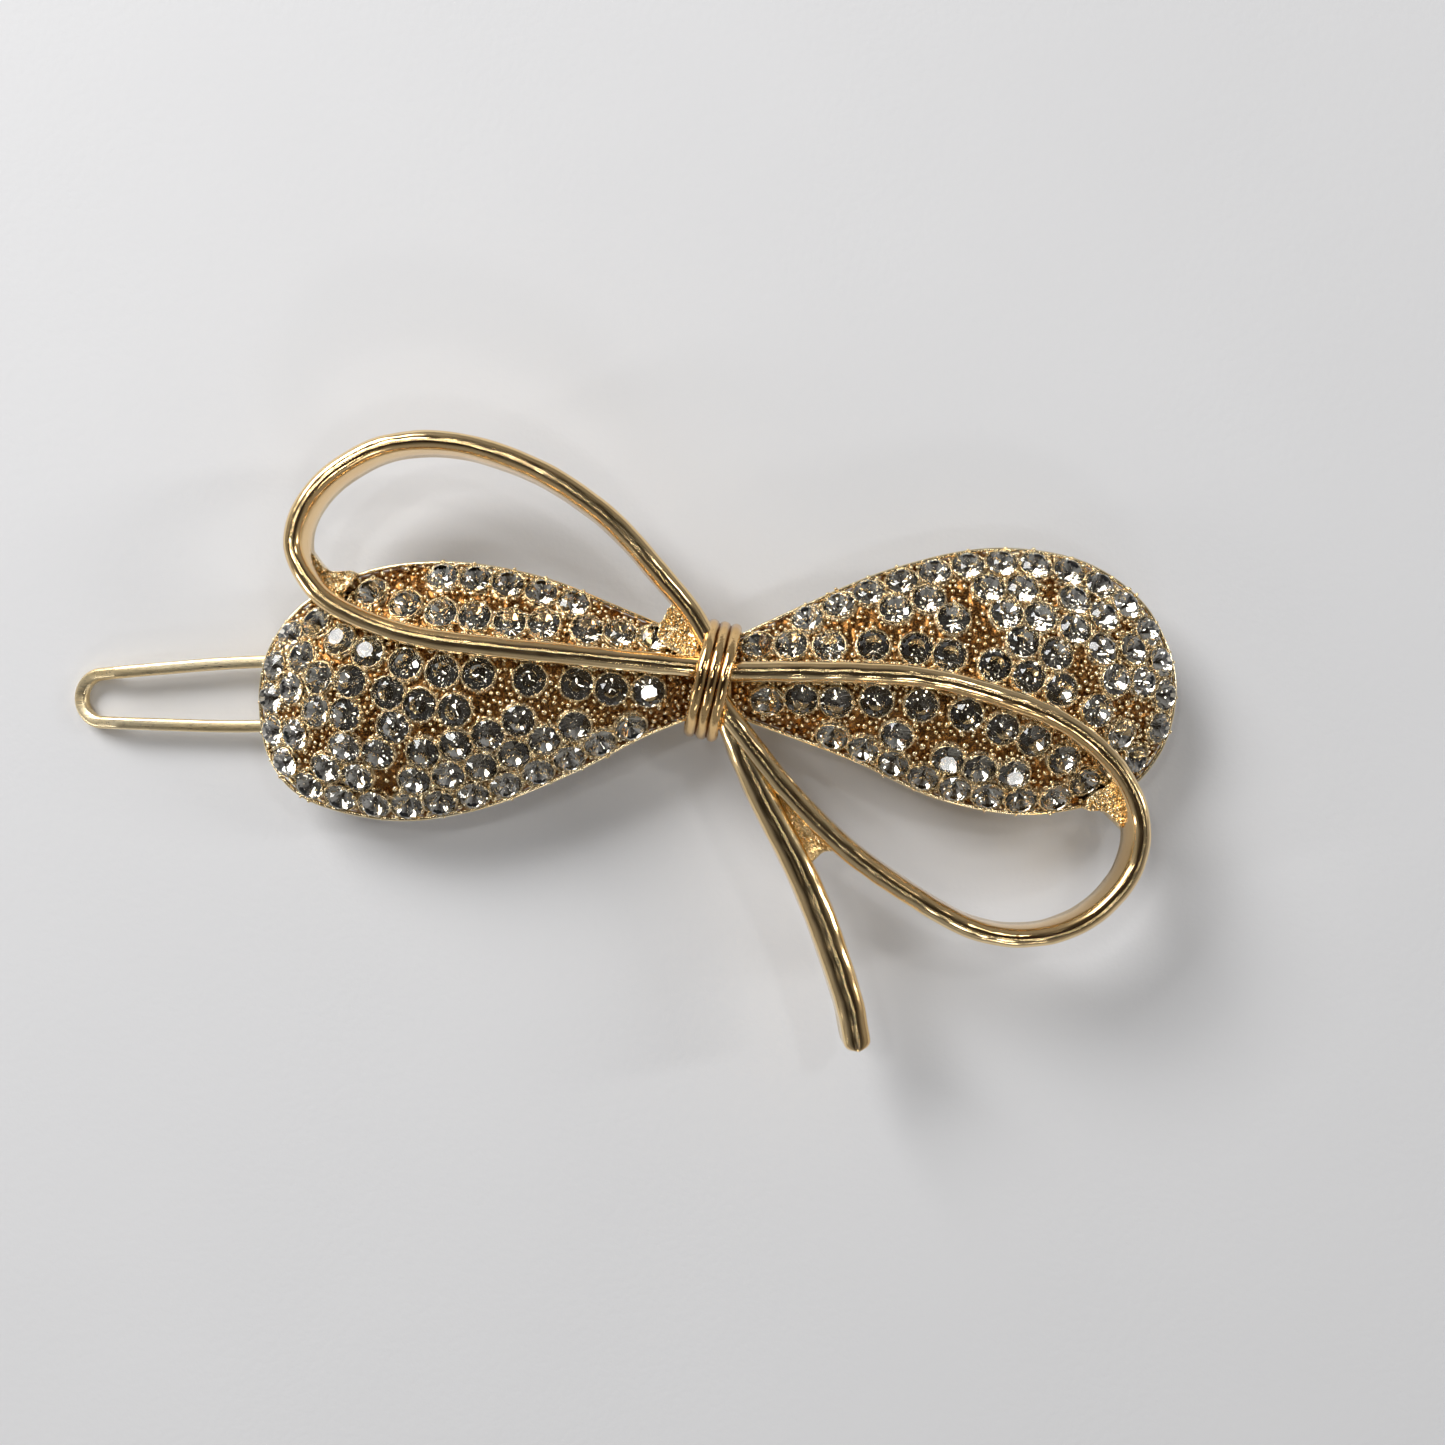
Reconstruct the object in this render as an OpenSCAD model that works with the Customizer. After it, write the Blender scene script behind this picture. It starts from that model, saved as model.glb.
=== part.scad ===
// Rhinestone bow hair clip: a cast bow set with small stones, held on a strip with a wire bail.
// The bow faces +Z and lies along X. The origin is on the strip's underside, below the knot.

/* [Stones] */
// Diameter of a stone at its girdle
stone_d = 2.1; // [1.9:0.05:2.1]
// Distance between the centres of neighbouring stones
stone_pitch = 2.2; // [2.2:0.02:2.4]
// Distance between neighbouring rows of stones
row_step = 2.12; // [2.12:0.02:2.4]
// Height of the crown, from the girdle to the table
crown_h = 0.5; // [0.35:0.05:0.7]
// Depth of the pavilion below the girdle
pavilion_h = 0.85; // [0.6:0.05:0.95]

/* [Bow] */
// Thickness of the wings' shell
shell_t = 1.3; // [1.2:0.1:1.5]
// Height of the plain band round a wing's edge
rim_h = 1.0; // [0.8:0.1:1.2]
// Height of the bow's back above the strip's underside
back_z = 0.75; // [0.7:0.01:0.9]
// How far a wing's outer end hangs below its root
rim_drop = 0.9; // [0:0.1:1.1]
// Width of the ribbon bands
ribbon_w = 1.3; // [1.1:0.05:1.5]
// Width of the tail at its widest place
tail_w = 1.9; // [1.5:0.1:2.2]

/* [Knot] */
// Radius of the knot band's strands
strand_r = 0.42; // [0.40:0.01:0.46]
// Distance between the knot band's strands
strand_pitch = 0.74; // [0.7:0.01:0.78]
// Radius of the arch that a strand makes over the knot
knot_r = 3.6; // [3.5:0.05:3.7]
// Lean of the knot band, clockwise seen from above
knot_lean = 13; // [8:1:15]

/* [Clip] */
// Length of the strip on the opening side of the knot
strip_left = 28.5; // [24:0.5:28.5]
// Width of the strip
strip_w = 4.2; // [4:0.1:4.4]
// Thickness of the strip
strip_t = 0.6; // [0.5:0.05:0.6]
// Distance from the knot to the bail's hinge
hinge_x = 20.8; // [18:0.2:22]
// Depth of the hinge's axis below the strip
hinge_drop = 1.5; // [1.4:0.05:1.6]
// Width of the bail's wire
wire_w = 0.86; // [0.8:0.02:0.9]
// Height of the bail's wire
wire_h = 0.8; // [0.7:0.05:0.8]
// Diameter of the bail's hinge pins
pin_d = 0.8; // [0.7:0.02:0.8]
// Running clearance round a hinge pin, on the radius
pin_gap = 0.04; // [0.02:0.01:0.08]
// Angle of the clip's centre line to the bow's
clip_yaw = 1.5; // [0:0.5:2]
// Angle by which the bail's tip is bent down
tip_bend = 15; // [0:1:20]

/* [Hidden] */
$fn = 32;
gold = "#d8b46a";
crystal = "#e6edf2";

// Wing edges as [x, y], from the root's upper corner round the outer end to its lower corner
LEFT_EDGE = [
    [-1.2, 2.7], [-6.4, 4.9], [-11.6, 6.9], [-17.5, 7.9], [-23, 7.4], [-27.4, 5.3], [-29.9, 2.2],
    [-30.6, -1.4],
    [-29.8, -5.4], [-27.2, -8.0], [-21.5, -9.3], [-15.6, -8.5], [-9.4, -6.1], [-4.9, -3.8], [-1.2, -2.3]
];
RIGHT_EDGE = [
    [1.2, 2.7], [6.4, 5.1], [12, 7.4], [18.5, 8.8], [24.5, 8.1], [28.6, 5.6], [30.7, 2.2],
    [31.2, -1.2],
    [30.1, -4.9], [27.3, -7.6], [21.5, -8.9], [15.3, -7.9], [9.5, -5.3], [5, -3.6], [1.2, -2.2]
];
// Wings as [edge, root of the spine, outer end of the spine], the spine's points on the crest
LEFT_WING = [LEFT_EDGE, [-1.2, 0.2], [-23.4, -1.2]];
RIGHT_WING = [RIGHT_EDGE, [1.2, 0.25], [23.8, -0.7]];
spine_root_z = 3.5;
spine_rise = 1.3;

// Ribbon centre lines as [x, y, height of the top, height of the foot]
UPPER_LOOP = [
    [-0.2, 2.4, 5.1, 3.0], [-1.6, 4.7, 5.4, 2.6], [-3.8, 7.3, 5.5, 2.5], [-6.2, 10.0, 5.4, 2.4],
    [-9.4, 12.5, 5.4, 2.4], [-13.1, 14.4, 5.3, 2.3], [-17.4, 15.5, 5.3, 2.3], [-21.4, 15.2, 5.3, 2.3],
    [-24.8, 13.4, 5.3, 2.3], [-26.9, 10.8, 5.2, 2.2], [-27.2, 8.2, 5.2, 2.0], [-25.6, 5.6, 5.3, 1.9],
    [-23.0, 4.0, 5.5, 2.6], [-19.4, 2.8, 5.8, 3.6], [-15.4, 2.2, 5.9, 4.0], [-10.4, 1.7, 5.8, 4.1],
    [-5.4, 1.2, 5.5, 3.6], [-0.5, 0.75, 5.2, 3.2]
];
LOWER_LOOP = [
    [0.5, 0.5, 5.2, 3.2], [5.2, 0.5, 5.5, 3.8], [10.0, 0.4, 5.8, 4.4], [14.4, 0.0, 5.9, 4.4],
    [19.2, -1.3, 5.8, 4.2], [22.8, -2.8, 5.6, 3.6], [25.8, -5.2, 5.4, 2.2], [27.5, -8.0, 5.3, 1.9],
    [27.8, -10.8, 5.3, 2.2], [26.6, -13.6, 5.3, 2.3], [23.9, -15.9, 5.3, 2.3], [20.4, -16.8, 5.3, 2.3],
    [16.8, -16.2, 5.3, 2.3], [13.0, -14.1, 5.3, 2.3], [8.9, -11.2, 5.3, 2.4], [5.3, -7.7, 5.4, 2.5],
    [2.7, -4.5, 5.5, 2.6], [1.3, -2.6, 5.4, 2.9], [0.3, -1.2, 5.0, 3.0]
];
TAIL = [
    [0.2, -1.0, 4.9, 3.0], [1.0, -2.6, 5.1, 2.8], [2.1, -5.3, 5.2, 2.5], [3.5, -8.2, 5.1, 2.4],
    [5.3, -11.6, 5.0, 2.3], [6.8, -14.9, 4.9, 2.2], [8.0, -18.2, 4.8, 2.1], [9.0, -21.4, 4.8, 2.1],
    [9.5, -24.2, 4.8, 2.1]
];
// Web between the tail and the lower loop's strand, as [x, y]
TAIL_WEB = [
    [1.9, -3.9], [3.0, -4.9], [5.5, -8.0], [8.3, -10.9], [7.2, -11.3], [6.2, -12.2], [5.5, -12.1],
    [3.6, -8.5]
];
web_z = 2.6;
web_t = 1.5;
ribbon_rings = 54;
tail_rings = 24;

// Half the distance between the bail's legs, as [x, half distance], from the hinge to the tip
BAIL_LEG = [
    [hinge_x + 0.1, 1.85], [8, 1.85], [-6, 1.87], [-18, 2.02], [-27, 2.2], [-33, 2.2], [-38, 1.95],
    [-42.4, 1.68]
];
leg_rings = 18;
tip_rings = 10;
tip_x = -42.4;
bend_x = -41.2;

ear_t = 0.45;
ear_outer = 1.3;
ear_r = 1.0;
pin_inner = 0.35;
eye_r = 0.46;
tongue_w = 1.3;
tongue_t = 0.35;
tongue_x = 8;
slot_gap = 0.12;

// Bars across the wings' hollow backs, at bar_x each side, from y = bar_from to bar_to
bar_x = 16;
bar_w = 2.4;
bar_t = 1.1;
bar_from = -7.3;
bar_to = 6.6;
pad_inset = 0.2;

// Knot: the strands' arc is centred at knot_z, and the hub is an arch of half-width hub_w on straight walls
knot_arc = 216;
knot_z = 2.57;
hub_half = 1.2;
hub_w = 2.2;
hub_wall = 1.6;
hub_y = 0.15;

row_count = 5;
row_gap = stone_d + 0.08;
edge_margin = stone_d / 2 + 0.15;
ribbon_margin = ribbon_w / 2 + stone_d / 2 + 0.15;
seat_gap = 0.02;
seat_room = 0.8;
girdle_top = 0.1;
girdle_bottom = -0.05;
culet_r = 0.2;
table_share = 0.6;
SIDES = ["upper", "lower"];
row_nodes = 3;
stone_nodes = [for (wing = ["left", "right"]) for (side = SIDES) for (row = [1 : row_nodes])
    str(wing, "_", side, "_stones_", row)];

// ---- Curves ----

// Point at t, from 0 to 1, on a smooth curve through the points p
function on_curve(p, t) = let (
    last = len(p) - 1,
    s = min(max(t, 0), 1) * last,
    i = min(floor(s), last - 1),
    f = s - i,
    a = p[max(i - 1, 0)], b = p[i], c = p[i + 1], d = p[min(i + 2, last)]
) 0.5 * (2*b + (c - a)*f + (2*a - 5*b + 4*c - d)*f*f + (3*b - a - 3*c + d)*f*f*f);

function unit(v) = v / norm(v);

// Points of a curve at equal steps of t
function curve_points(p, count) = [for (i = [0 : count]) on_curve(p, i / count)];

// ---- Wing surface: a runs round the edge from 0 to 1, q runs from the edge (0) to the spine (1) ----

function along(a) = 1 - abs(2*a - 1);
function edge_point(wing, a) = on_curve(wing[0], a);
function spine_point(wing, a) = wing[1] + (wing[2] - wing[1]) * sin(90 * along(a));
function rim_bottom(a) = back_z - rim_drop * (1 - cos(180 * along(a))) / 2;
function spine_z(a) = spine_root_z + spine_rise * sin(150 * along(a));
function wing_point(wing, a, q) = let (
    plan = edge_point(wing, a) * (1 - q) + spine_point(wing, a) * q,
    low = rim_bottom(a) + rim_h
) [plan.x, plan.y, low + (spine_z(a) - low) * (1 - (1 - q) * (1 - q))];

// Point inside the shell, below the outer point at the same a and q
function inner_point(wing, a, q) = let (
    edge = edge_point(wing, a),
    spine = spine_point(wing, a),
    start = edge + unit(spine - edge) * shell_t,
    plan = start * (1 - q) + spine * q,
    low = rim_bottom(a) + rim_h - shell_t / 2
) [plan.x, plan.y, low + (spine_z(a) - shell_t - low) * (1 - (1 - q) * (1 - q))];

// One rib of the shell: level 0 is the rim's bottom, and the others climb to the spine
wing_ribs = 26;
wing_levels = 8;
function level_q(k) = (k - 1) / (wing_levels - 1);
function outer_level(wing, a, k) = k == 0
    ? let (e = edge_point(wing, a)) [e.x, e.y, rim_bottom(a)]
    : wing_point(wing, a, level_q(k));
function inner_level(wing, a, k) = k == 0
    ? let (e = inner_point(wing, a, 0)) [e.x, e.y, rim_bottom(a)]
    : inner_point(wing, a, level_q(k));

module wing_shell(wing, turned) {
    span = 2 * wing_levels + 1;
    rib_size = 2 * span;
    tip = wing_ribs * rib_size;
    points = concat(
        [for (j = [0 : wing_ribs - 1]) for (skin = [0, 1]) for (m = [0 : span - 1])
            let (upper = m <= wing_levels, half = j / wing_ribs / 2,
                 a = upper ? half : 1 - half, k = upper ? m : span - 1 - m)
            skin == 0 ? outer_level(wing, a, k) : inner_level(wing, a, k)],
        [for (skin = [0, 1]) for (k = [0 : wing_levels])
            skin == 0 ? outer_level(wing, 0.5, k) : inner_level(wing, 0.5, k)]
    );
    // Both halves of a rib share the points at the wing's tip
    function id(j, skin, m) = j < wing_ribs
        ? j * rib_size + skin * span + m
        : tip + skin * (wing_levels + 1) + min(m, span - 1 - m);
    quads = concat(
        [for (j = [0 : wing_ribs - 1]) for (m = [0 : span - 2])
            [id(j, 0, m), id(j, 0, m + 1), id(j + 1, 0, m + 1), id(j + 1, 0, m)]],
        [for (j = [0 : wing_ribs - 1]) for (m = [0 : span - 2])
            [id(j, 1, m), id(j + 1, 1, m), id(j + 1, 1, m + 1), id(j, 1, m + 1)]],
        [for (j = [0 : wing_ribs - 1]) [id(j, 0, 0), id(j + 1, 0, 0), id(j + 1, 1, 0), id(j, 1, 0)]],
        [for (j = [0 : wing_ribs - 1]) let (m = span - 1)
            [id(j, 0, m), id(j, 1, m), id(j + 1, 1, m), id(j + 1, 0, m)]],
        [for (m = [0 : span - 2]) [id(0, 0, m), id(0, 1, m), id(0, 1, m + 1), id(0, 0, m + 1)]]
    );
    faces = [for (f = quads) for (three = [[f[0], f[1], f[2]], [f[0], f[2], f[3]]])
        turned ? [three[2], three[1], three[0]] : three];
    polyhedron(points, faces, convexity = 6);
}

// ---- Stones ----

// Distance from the edge over the surface, as pairs of [distance, q]
function rise_steps(wing, a) = let (
    steps = 20,
    p = [for (i = [0 : steps]) wing_point(wing, a, i / steps)]
) [for (i = 0, run = 0; i <= steps; run = run + (i < steps ? norm(p[i + 1] - p[i]) : 0), i = i + 1)
    [run, i / steps]];

// Places where a stone of one row could go, as [point, a, q, row]
edge_steps = 640;
spare_steps = 320;
function row_places(wing, row, path) = let (reach = edge_margin + row * row_step) [
    for (i = [0 : edge_steps]) let (
        a = i / edge_steps,
        rise = rise_steps(wing, a),
        q = lookup(reach, rise),
        p = wing_point(wing, a, q)
    ) if (reach < rise[len(rise) - 1][0] + 0.4 && open_ground(p, path)) [p, a, q, row]
];

// Places anywhere on the wing, at most reach from a ribbon's side
function spare_places(wing, path, reach, row) = [
    for (i = [0 : spare_steps]) for (q = [0.1 : 0.03 : 1]) let (
        a = i / spare_steps,
        p = wing_point(wing, a, q)
    ) if (norm(p - wing_point(wing, a, 0)) >= edge_margin && open_ground(p, path)
          && path_distance(p, path) < ribbon_margin + reach) [p, a, q, row]
];

// Whether a stone at p is clear of the knot and of the ribbons
function open_ground(p, path) = abs(p.x) > hub_half + stone_d / 2 + 0.6
    && path_distance(p, path) > ribbon_margin;
function path_distance(p, path) = min([for (c = path) norm([p.x - c.x, p.y - c.y])]);

// Takes each place that is a pitch from the stones of its own row and clear of the other rows
function crowded(place, taken) = len([for (t = taken)
    if (norm(t[0] - place[0]) < (t[3] == place[3] ? stone_pitch : row_gap)) 1]) > 0;
function take(places, i = 0, taken = []) = i == len(places) ? taken
    : take(places, i + 1, crowded(places[i], taken) ? taken : concat(taken, [places[i]]));

// Stones beside the ribbon come first, then the rows from the edge inwards, then any that still fit
function wing_stones(wing, path) = take(concat(
    spare_places(wing, path, 0.12, row_count),
    [for (row = [0 : row_count - 1]) each row_places(wing, row, path)],
    spare_places(wing, path, 99, row_count + 1)
));

// Outward direction of the surface
function wing_normal(wing, a, q) = let (
    h = 0.002,
    du = wing_point(wing, min(a + h, 1), q) - wing_point(wing, max(a - h, 0), q),
    dv = wing_point(wing, a, min(q + h, 1)) - wing_point(wing, a, max(q - h, 0)),
    n = unit(cross(du, dv))
) n.z < 0 ? -n : n;

module place_stone(wing, s) {
    n = wing_normal(wing, s[1], s[2]);
    translate(s[0]) rotate([0, acos(n.z), atan2(n.y, n.x)]) children();
}

module stone() {
    r = stone_d / 2;
    rotate_extrude() polygon([
        [0, -pavilion_h], [culet_r, -pavilion_h], [r, girdle_bottom], [r, girdle_top],
        [table_share * r, crown_h], [0, crown_h]
    ]);
}

// Cup that a stone sits in, with room above the surface for its girdle
module seat() {
    r = stone_d / 2 + seat_gap;
    rotate_extrude() polygon([
        [0, -pavilion_h - seat_gap], [culet_r + seat_gap, -pavilion_h - seat_gap],
        [r, girdle_bottom - seat_gap], [r, seat_room], [0, seat_room]
    ]);
}

UPPER_PATH = curve_points(UPPER_LOOP, ribbon_rings);
LOWER_PATH = curve_points(LOWER_LOOP, ribbon_rings);
LEFT_STONES = wing_stones(LEFT_WING, UPPER_PATH);
RIGHT_STONES = wing_stones(RIGHT_WING, LOWER_PATH);

module stone_row(stones, wing, side, row) {
    color(crystal)
    for (s = stones)
        if (min(s[3] + 1, row_nodes) == row && (s[1] < 0.5) == (side == "upper"))
            place_stone(wing, s) stone();
}

// ---- Ribbons: upright walls with a rounded top, swept along a curve ----

function ribbon_section(width, top, foot) = let (w = width / 2) [
    [-w * 1.12, foot], [-w, top - 0.45], [-w * 0.78, top - 0.14], [-w * 0.3, top],
    [w * 0.3, top], [w * 0.78, top - 0.14], [w, top - 0.45], [w * 1.12, foot]
];

module ribbon(path, widths) {
    last = len(path) - 1;
    size = 8;
    points = [for (i = [0 : last]) let (
            ahead = path[min(i + 1, last)] - path[max(i - 1, 0)],
            side = unit([ahead.y, -ahead.x]),
            c = path[i]
        ) for (s = ribbon_section(widths[i], c[2], c[3])) [c.x + side.x * s.x, c.y + side.y * s.x, s.y]];
    quads = [for (i = [0 : last - 1]) for (k = [0 : size - 1]) let (n = (k + 1) % size)
        [i * size + k, (i + 1) * size + k, (i + 1) * size + n, i * size + n]];
    faces = concat(
        [for (f = quads) each [[f[0], f[1], f[2]], [f[0], f[2], f[3]]]],
        [[for (k = [0 : size - 1]) k]],
        [[for (k = [size - 1 : -1 : 0]) last * size + k]]
    );
    polyhedron(points, faces, convexity = 8);
}

// ---- Sub-parts ----

module wing_casting(wing, stones, turned) {
    color(gold)
    difference() {
        union() {
            wing_shell(wing, turned);
            back_bar(wing);
        }
        for (s = stones) place_stone(wing, s) seat();
    }
}

// Bar across the hollow back, which the strip is soldered to
module back_bar(wing) {
    side = wing[1].x < 0 ? -1 : 1;
    translate([side * bar_x - bar_w / 2, bar_from, back_z]) cube([bar_w, bar_to - bar_from, bar_t]);
}

module left_wing() wing_casting(LEFT_WING, LEFT_STONES, false);
module right_wing() wing_casting(RIGHT_WING, RIGHT_STONES, true);

module upper_ribbon_loop() {
    color(gold) ribbon(UPPER_PATH, [for (i = [0 : ribbon_rings]) ribbon_w]);
}
module lower_ribbon_loop() {
    color(gold) ribbon(LOWER_PATH, [for (i = [0 : ribbon_rings]) ribbon_w]);
}
module ribbon_tail() {
    color(gold) translate([0, 0, web_z]) linear_extrude(web_t) polygon(TAIL_WEB);
    swell = [for (i = [0 : tail_rings]) ribbon_w + (tail_w - ribbon_w) * sin(135 * i / tail_rings)];
    color(gold) ribbon(curve_points(TAIL, tail_rings),
        [for (i = [0 : tail_rings]) i == tail_rings ? swell[i] / 2 : swell[i]]);
}

module knot_band() {
    color(gold)
    translate([0, 0, knot_z])
    rotate([0, 0, -knot_lean])
    rotate([90, 0, 90])
    rotate([0, 0, 90 - knot_arc / 2])
    rotate_extrude(angle = knot_arc, $fn = 64)
    for (k = [-1 : 1])
        translate([knot_r, k * strand_pitch]) circle(strand_r);
}

module knot_hub() {
    color(gold)
    translate([-hub_half, hub_y, back_z])
    rotate([90, 0, 90])
    linear_extrude(2 * hub_half) {
        translate([-hub_w, 0]) square([2 * hub_w, hub_wall]);
        intersection() {
            translate([0, hub_wall]) circle(hub_w);
            translate([-hub_w, hub_wall / 2]) square([2 * hub_w, 2 * hub_w]);
        }
    }
}

// Everything of the clip lies on the clip's own centre line
module on_clip() {
    rotate([0, 0, clip_yaw]) children();
}

module strip_plan() {
    neck_x = hinge_x - 2;
    end_x = -strip_left + strip_w / 2;
    slot_w = tongue_w + 2 * slot_gap;
    difference() {
        union() {
            translate([end_x, -strip_w / 2]) square([neck_x - end_x, strip_w]);
            translate([end_x, 0]) circle(strip_w / 2);
            translate([neck_x - 1, -ear_outer]) square([3 + ear_r, 2 * ear_outer]);
        }
        translate([tongue_x, -slot_w / 2]) square([hinge_x - tongue_x + 0.6, slot_w]);
    }
}

module ear() {
    translate([hinge_x, 0, -hinge_drop])
    rotate([90, 0, 0])
    difference() {
        union() {
            cylinder(h = ear_t, r = ear_r);
            translate([-ear_r, 0, 0]) cube([2 * ear_r, hinge_drop + strip_t, ear_t]);
        }
        translate([0, 0, -1]) cylinder(h = ear_t + 2, d = pin_d + 2 * pin_gap);
    }
}

module clip_strip() {
    root = 0.3;
    run = hinge_x - tongue_x;
    end = run + 0.7;
    drop = hinge_drop - pin_d / 2 - 0.08;
    color(gold)
    on_clip() {
        linear_extrude(strip_t) strip_plan();
        translate([0, ear_outer, 0]) ear();
        translate([0, -ear_outer + ear_t, 0]) ear();
        translate([tongue_x - root, 0, 0])
        rotate([90, 0, 0])
        linear_extrude(tongue_w, center = true)
        polygon([[0, 0.1], [root, 0], [run, -drop], [end, -drop], [end, tongue_t - drop],
                 [run, tongue_t - drop], [root, tongue_t], [0, tongue_t]]);
    }
}

// Centre line of the bail's wire, from one leg's eye round the tip to the other's
function leg_half(i) = on_curve(BAIL_LEG, i / leg_rings);
tip_r = BAIL_LEG[len(BAIL_LEG) - 1].y;
BAIL_PLAN = concat(
    [for (i = [0 : leg_rings]) let (p = leg_half(i)) [p.x, -p.y]],
    [for (i = [1 : tip_rings - 1]) let (w = 180 * i / tip_rings) [tip_x - tip_r * sin(w), -tip_r * cos(w)]],
    [for (i = [leg_rings : -1 : 0]) leg_half(i)]
);
function bail_z(x) = -hinge_drop + (x < bend_x ? (x - bend_x) * tan(tip_bend) : 0);

module bail_wire() {
    last = len(BAIL_PLAN) - 1;
    size = 8;
    w = wire_w / 2;
    h = wire_h / 2;
    c = 0.16;
    section = [
        [-w, -h + c], [-w, h - c], [-w + c, h], [w - c, h], [w, h - c], [w, -h + c], [w - c, -h], [-w + c, -h]
    ];
    points = [for (i = [0 : last]) let (
            ahead = i == 0 || i == last ? [i == 0 ? -1 : 1, 0] : BAIL_PLAN[i + 1] - BAIL_PLAN[i - 1],
            side = unit([ahead.y, -ahead.x]),
            p = BAIL_PLAN[i]
        ) for (s = section) [p.x + side.x * s.x, p.y + side.y * s.x, bail_z(p.x) + s.y]];
    quads = [for (i = [0 : last - 1]) for (k = [0 : size - 1]) let (n = (k + 1) % size)
        [i * size + k, (i + 1) * size + k, (i + 1) * size + n, i * size + n]];
    faces = concat(
        [for (f = quads) each [[f[0], f[1], f[2]], [f[0], f[2], f[3]]]],
        [[for (k = [0 : size - 1]) k]],
        [[for (k = [size - 1 : -1 : 0]) last * size + k]]
    );
    polyhedron(points, faces, convexity = 6);
}

module wire_bail() {
    leg_y = BAIL_LEG[0].y;
    color(gold)
    on_clip() {
        bail_wire();
        for (side = [-1, 1])
            translate([hinge_x, side * leg_y, -hinge_drop])
            rotate([90, 0, 0]) {
                cylinder(h = wire_w + 0.06, r = eye_r, center = true);
                translate([0, 0, side > 0 ? 0 : -(leg_y - pin_inner)])
                    cylinder(h = leg_y - pin_inner, d = pin_d);
            }
    }
}

// Solder between the strip and the bow's back
module solder_pads() {
    color(gold)
    on_clip() {
        solder_pad(-bar_x, bar_w, -1.3, 1.3);
        solder_pad(0, 2 * hub_half, -1.3, 1.3);
        solder_pad(bar_x, bar_w, 1, 1.9);
        solder_pad(bar_x, bar_w, -1.9, -1);
    }
}
module solder_pad(x, under, from_y, to_y) {
    w = under - 2 * pad_inset;
    translate([x - w / 2, from_y, strip_t]) cube([w, to_y - from_y, back_z - strip_t]);
}

left_wing();
right_wing();
upper_ribbon_loop();
lower_ribbon_loop();
ribbon_tail();
knot_band();
knot_hub();
clip_strip();
wire_bail();
solder_pads();
for (side = SIDES) for (row = [1 : row_nodes]) {
    stone_row(LEFT_STONES, LEFT_WING, side, row);
    stone_row(RIGHT_STONES, RIGHT_WING, side, row);
}
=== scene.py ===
import math
import random

import bmesh
import bpy
import numpy as np
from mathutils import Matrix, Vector


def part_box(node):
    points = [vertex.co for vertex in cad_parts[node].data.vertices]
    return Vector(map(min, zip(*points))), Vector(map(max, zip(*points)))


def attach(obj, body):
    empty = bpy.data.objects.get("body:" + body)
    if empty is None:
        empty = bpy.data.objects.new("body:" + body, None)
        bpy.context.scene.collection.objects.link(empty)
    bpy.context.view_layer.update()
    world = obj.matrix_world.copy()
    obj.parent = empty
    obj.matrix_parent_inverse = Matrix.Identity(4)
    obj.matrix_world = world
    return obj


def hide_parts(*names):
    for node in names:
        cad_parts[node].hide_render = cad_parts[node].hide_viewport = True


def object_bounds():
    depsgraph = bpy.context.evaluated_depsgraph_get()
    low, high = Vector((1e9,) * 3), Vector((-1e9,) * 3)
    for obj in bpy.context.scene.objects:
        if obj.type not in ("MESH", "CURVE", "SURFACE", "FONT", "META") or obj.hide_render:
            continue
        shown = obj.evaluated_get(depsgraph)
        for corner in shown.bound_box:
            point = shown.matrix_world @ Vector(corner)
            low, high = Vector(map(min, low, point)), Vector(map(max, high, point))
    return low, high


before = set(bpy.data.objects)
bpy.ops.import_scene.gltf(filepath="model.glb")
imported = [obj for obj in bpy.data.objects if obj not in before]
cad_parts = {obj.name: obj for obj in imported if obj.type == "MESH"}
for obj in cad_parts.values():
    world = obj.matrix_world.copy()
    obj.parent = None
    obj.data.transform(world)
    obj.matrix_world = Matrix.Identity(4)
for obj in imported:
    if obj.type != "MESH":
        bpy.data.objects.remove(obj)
cad_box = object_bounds()

# Sizes are in millimetres until mesh_object turns them into metres
MM = 0.001
RANDOM = random.Random(11)

# ---- The design's curves, as in the CAD model ----

LEFT_EDGE = [
    (-1.2, 2.7), (-6.4, 4.9), (-11.6, 6.9), (-17.5, 7.9), (-23, 7.4), (-27.4, 5.3), (-29.9, 2.2),
    (-30.6, -1.4),
    (-29.8, -5.4), (-27.2, -8.0), (-21.5, -9.3), (-15.6, -8.5), (-9.4, -6.1), (-4.9, -3.8), (-1.2, -2.3),
]
RIGHT_EDGE = [
    (1.2, 2.7), (6.4, 5.1), (12, 7.4), (18.5, 8.8), (24.5, 8.1), (28.6, 5.6), (30.7, 2.2),
    (31.2, -1.2),
    (30.1, -4.9), (27.3, -7.6), (21.5, -8.9), (15.3, -7.9), (9.5, -5.3), (5, -3.6), (1.2, -2.2),
]
# Ribbon centre lines as (x, y, height of the top, height of the foot)
UPPER_LOOP = [
    (-0.2, 2.4, 5.1, 3.0), (-1.6, 4.7, 5.4, 2.6), (-3.8, 7.3, 5.5, 2.5), (-6.2, 10.0, 5.4, 2.4),
    (-9.4, 12.5, 5.4, 2.4), (-13.1, 14.4, 5.3, 2.3), (-17.4, 15.5, 5.3, 2.3), (-21.4, 15.2, 5.3, 2.3),
    (-24.8, 13.4, 5.3, 2.3), (-26.9, 10.8, 5.2, 2.2), (-27.2, 8.2, 5.2, 2.0), (-25.6, 5.6, 5.3, 1.9),
    (-23.0, 4.0, 5.5, 2.6), (-19.4, 2.8, 5.8, 3.6), (-15.4, 2.2, 5.9, 4.0), (-10.4, 1.7, 5.8, 4.1),
    (-5.4, 1.2, 5.5, 3.6), (-0.5, 0.75, 5.2, 3.2),
]
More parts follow.
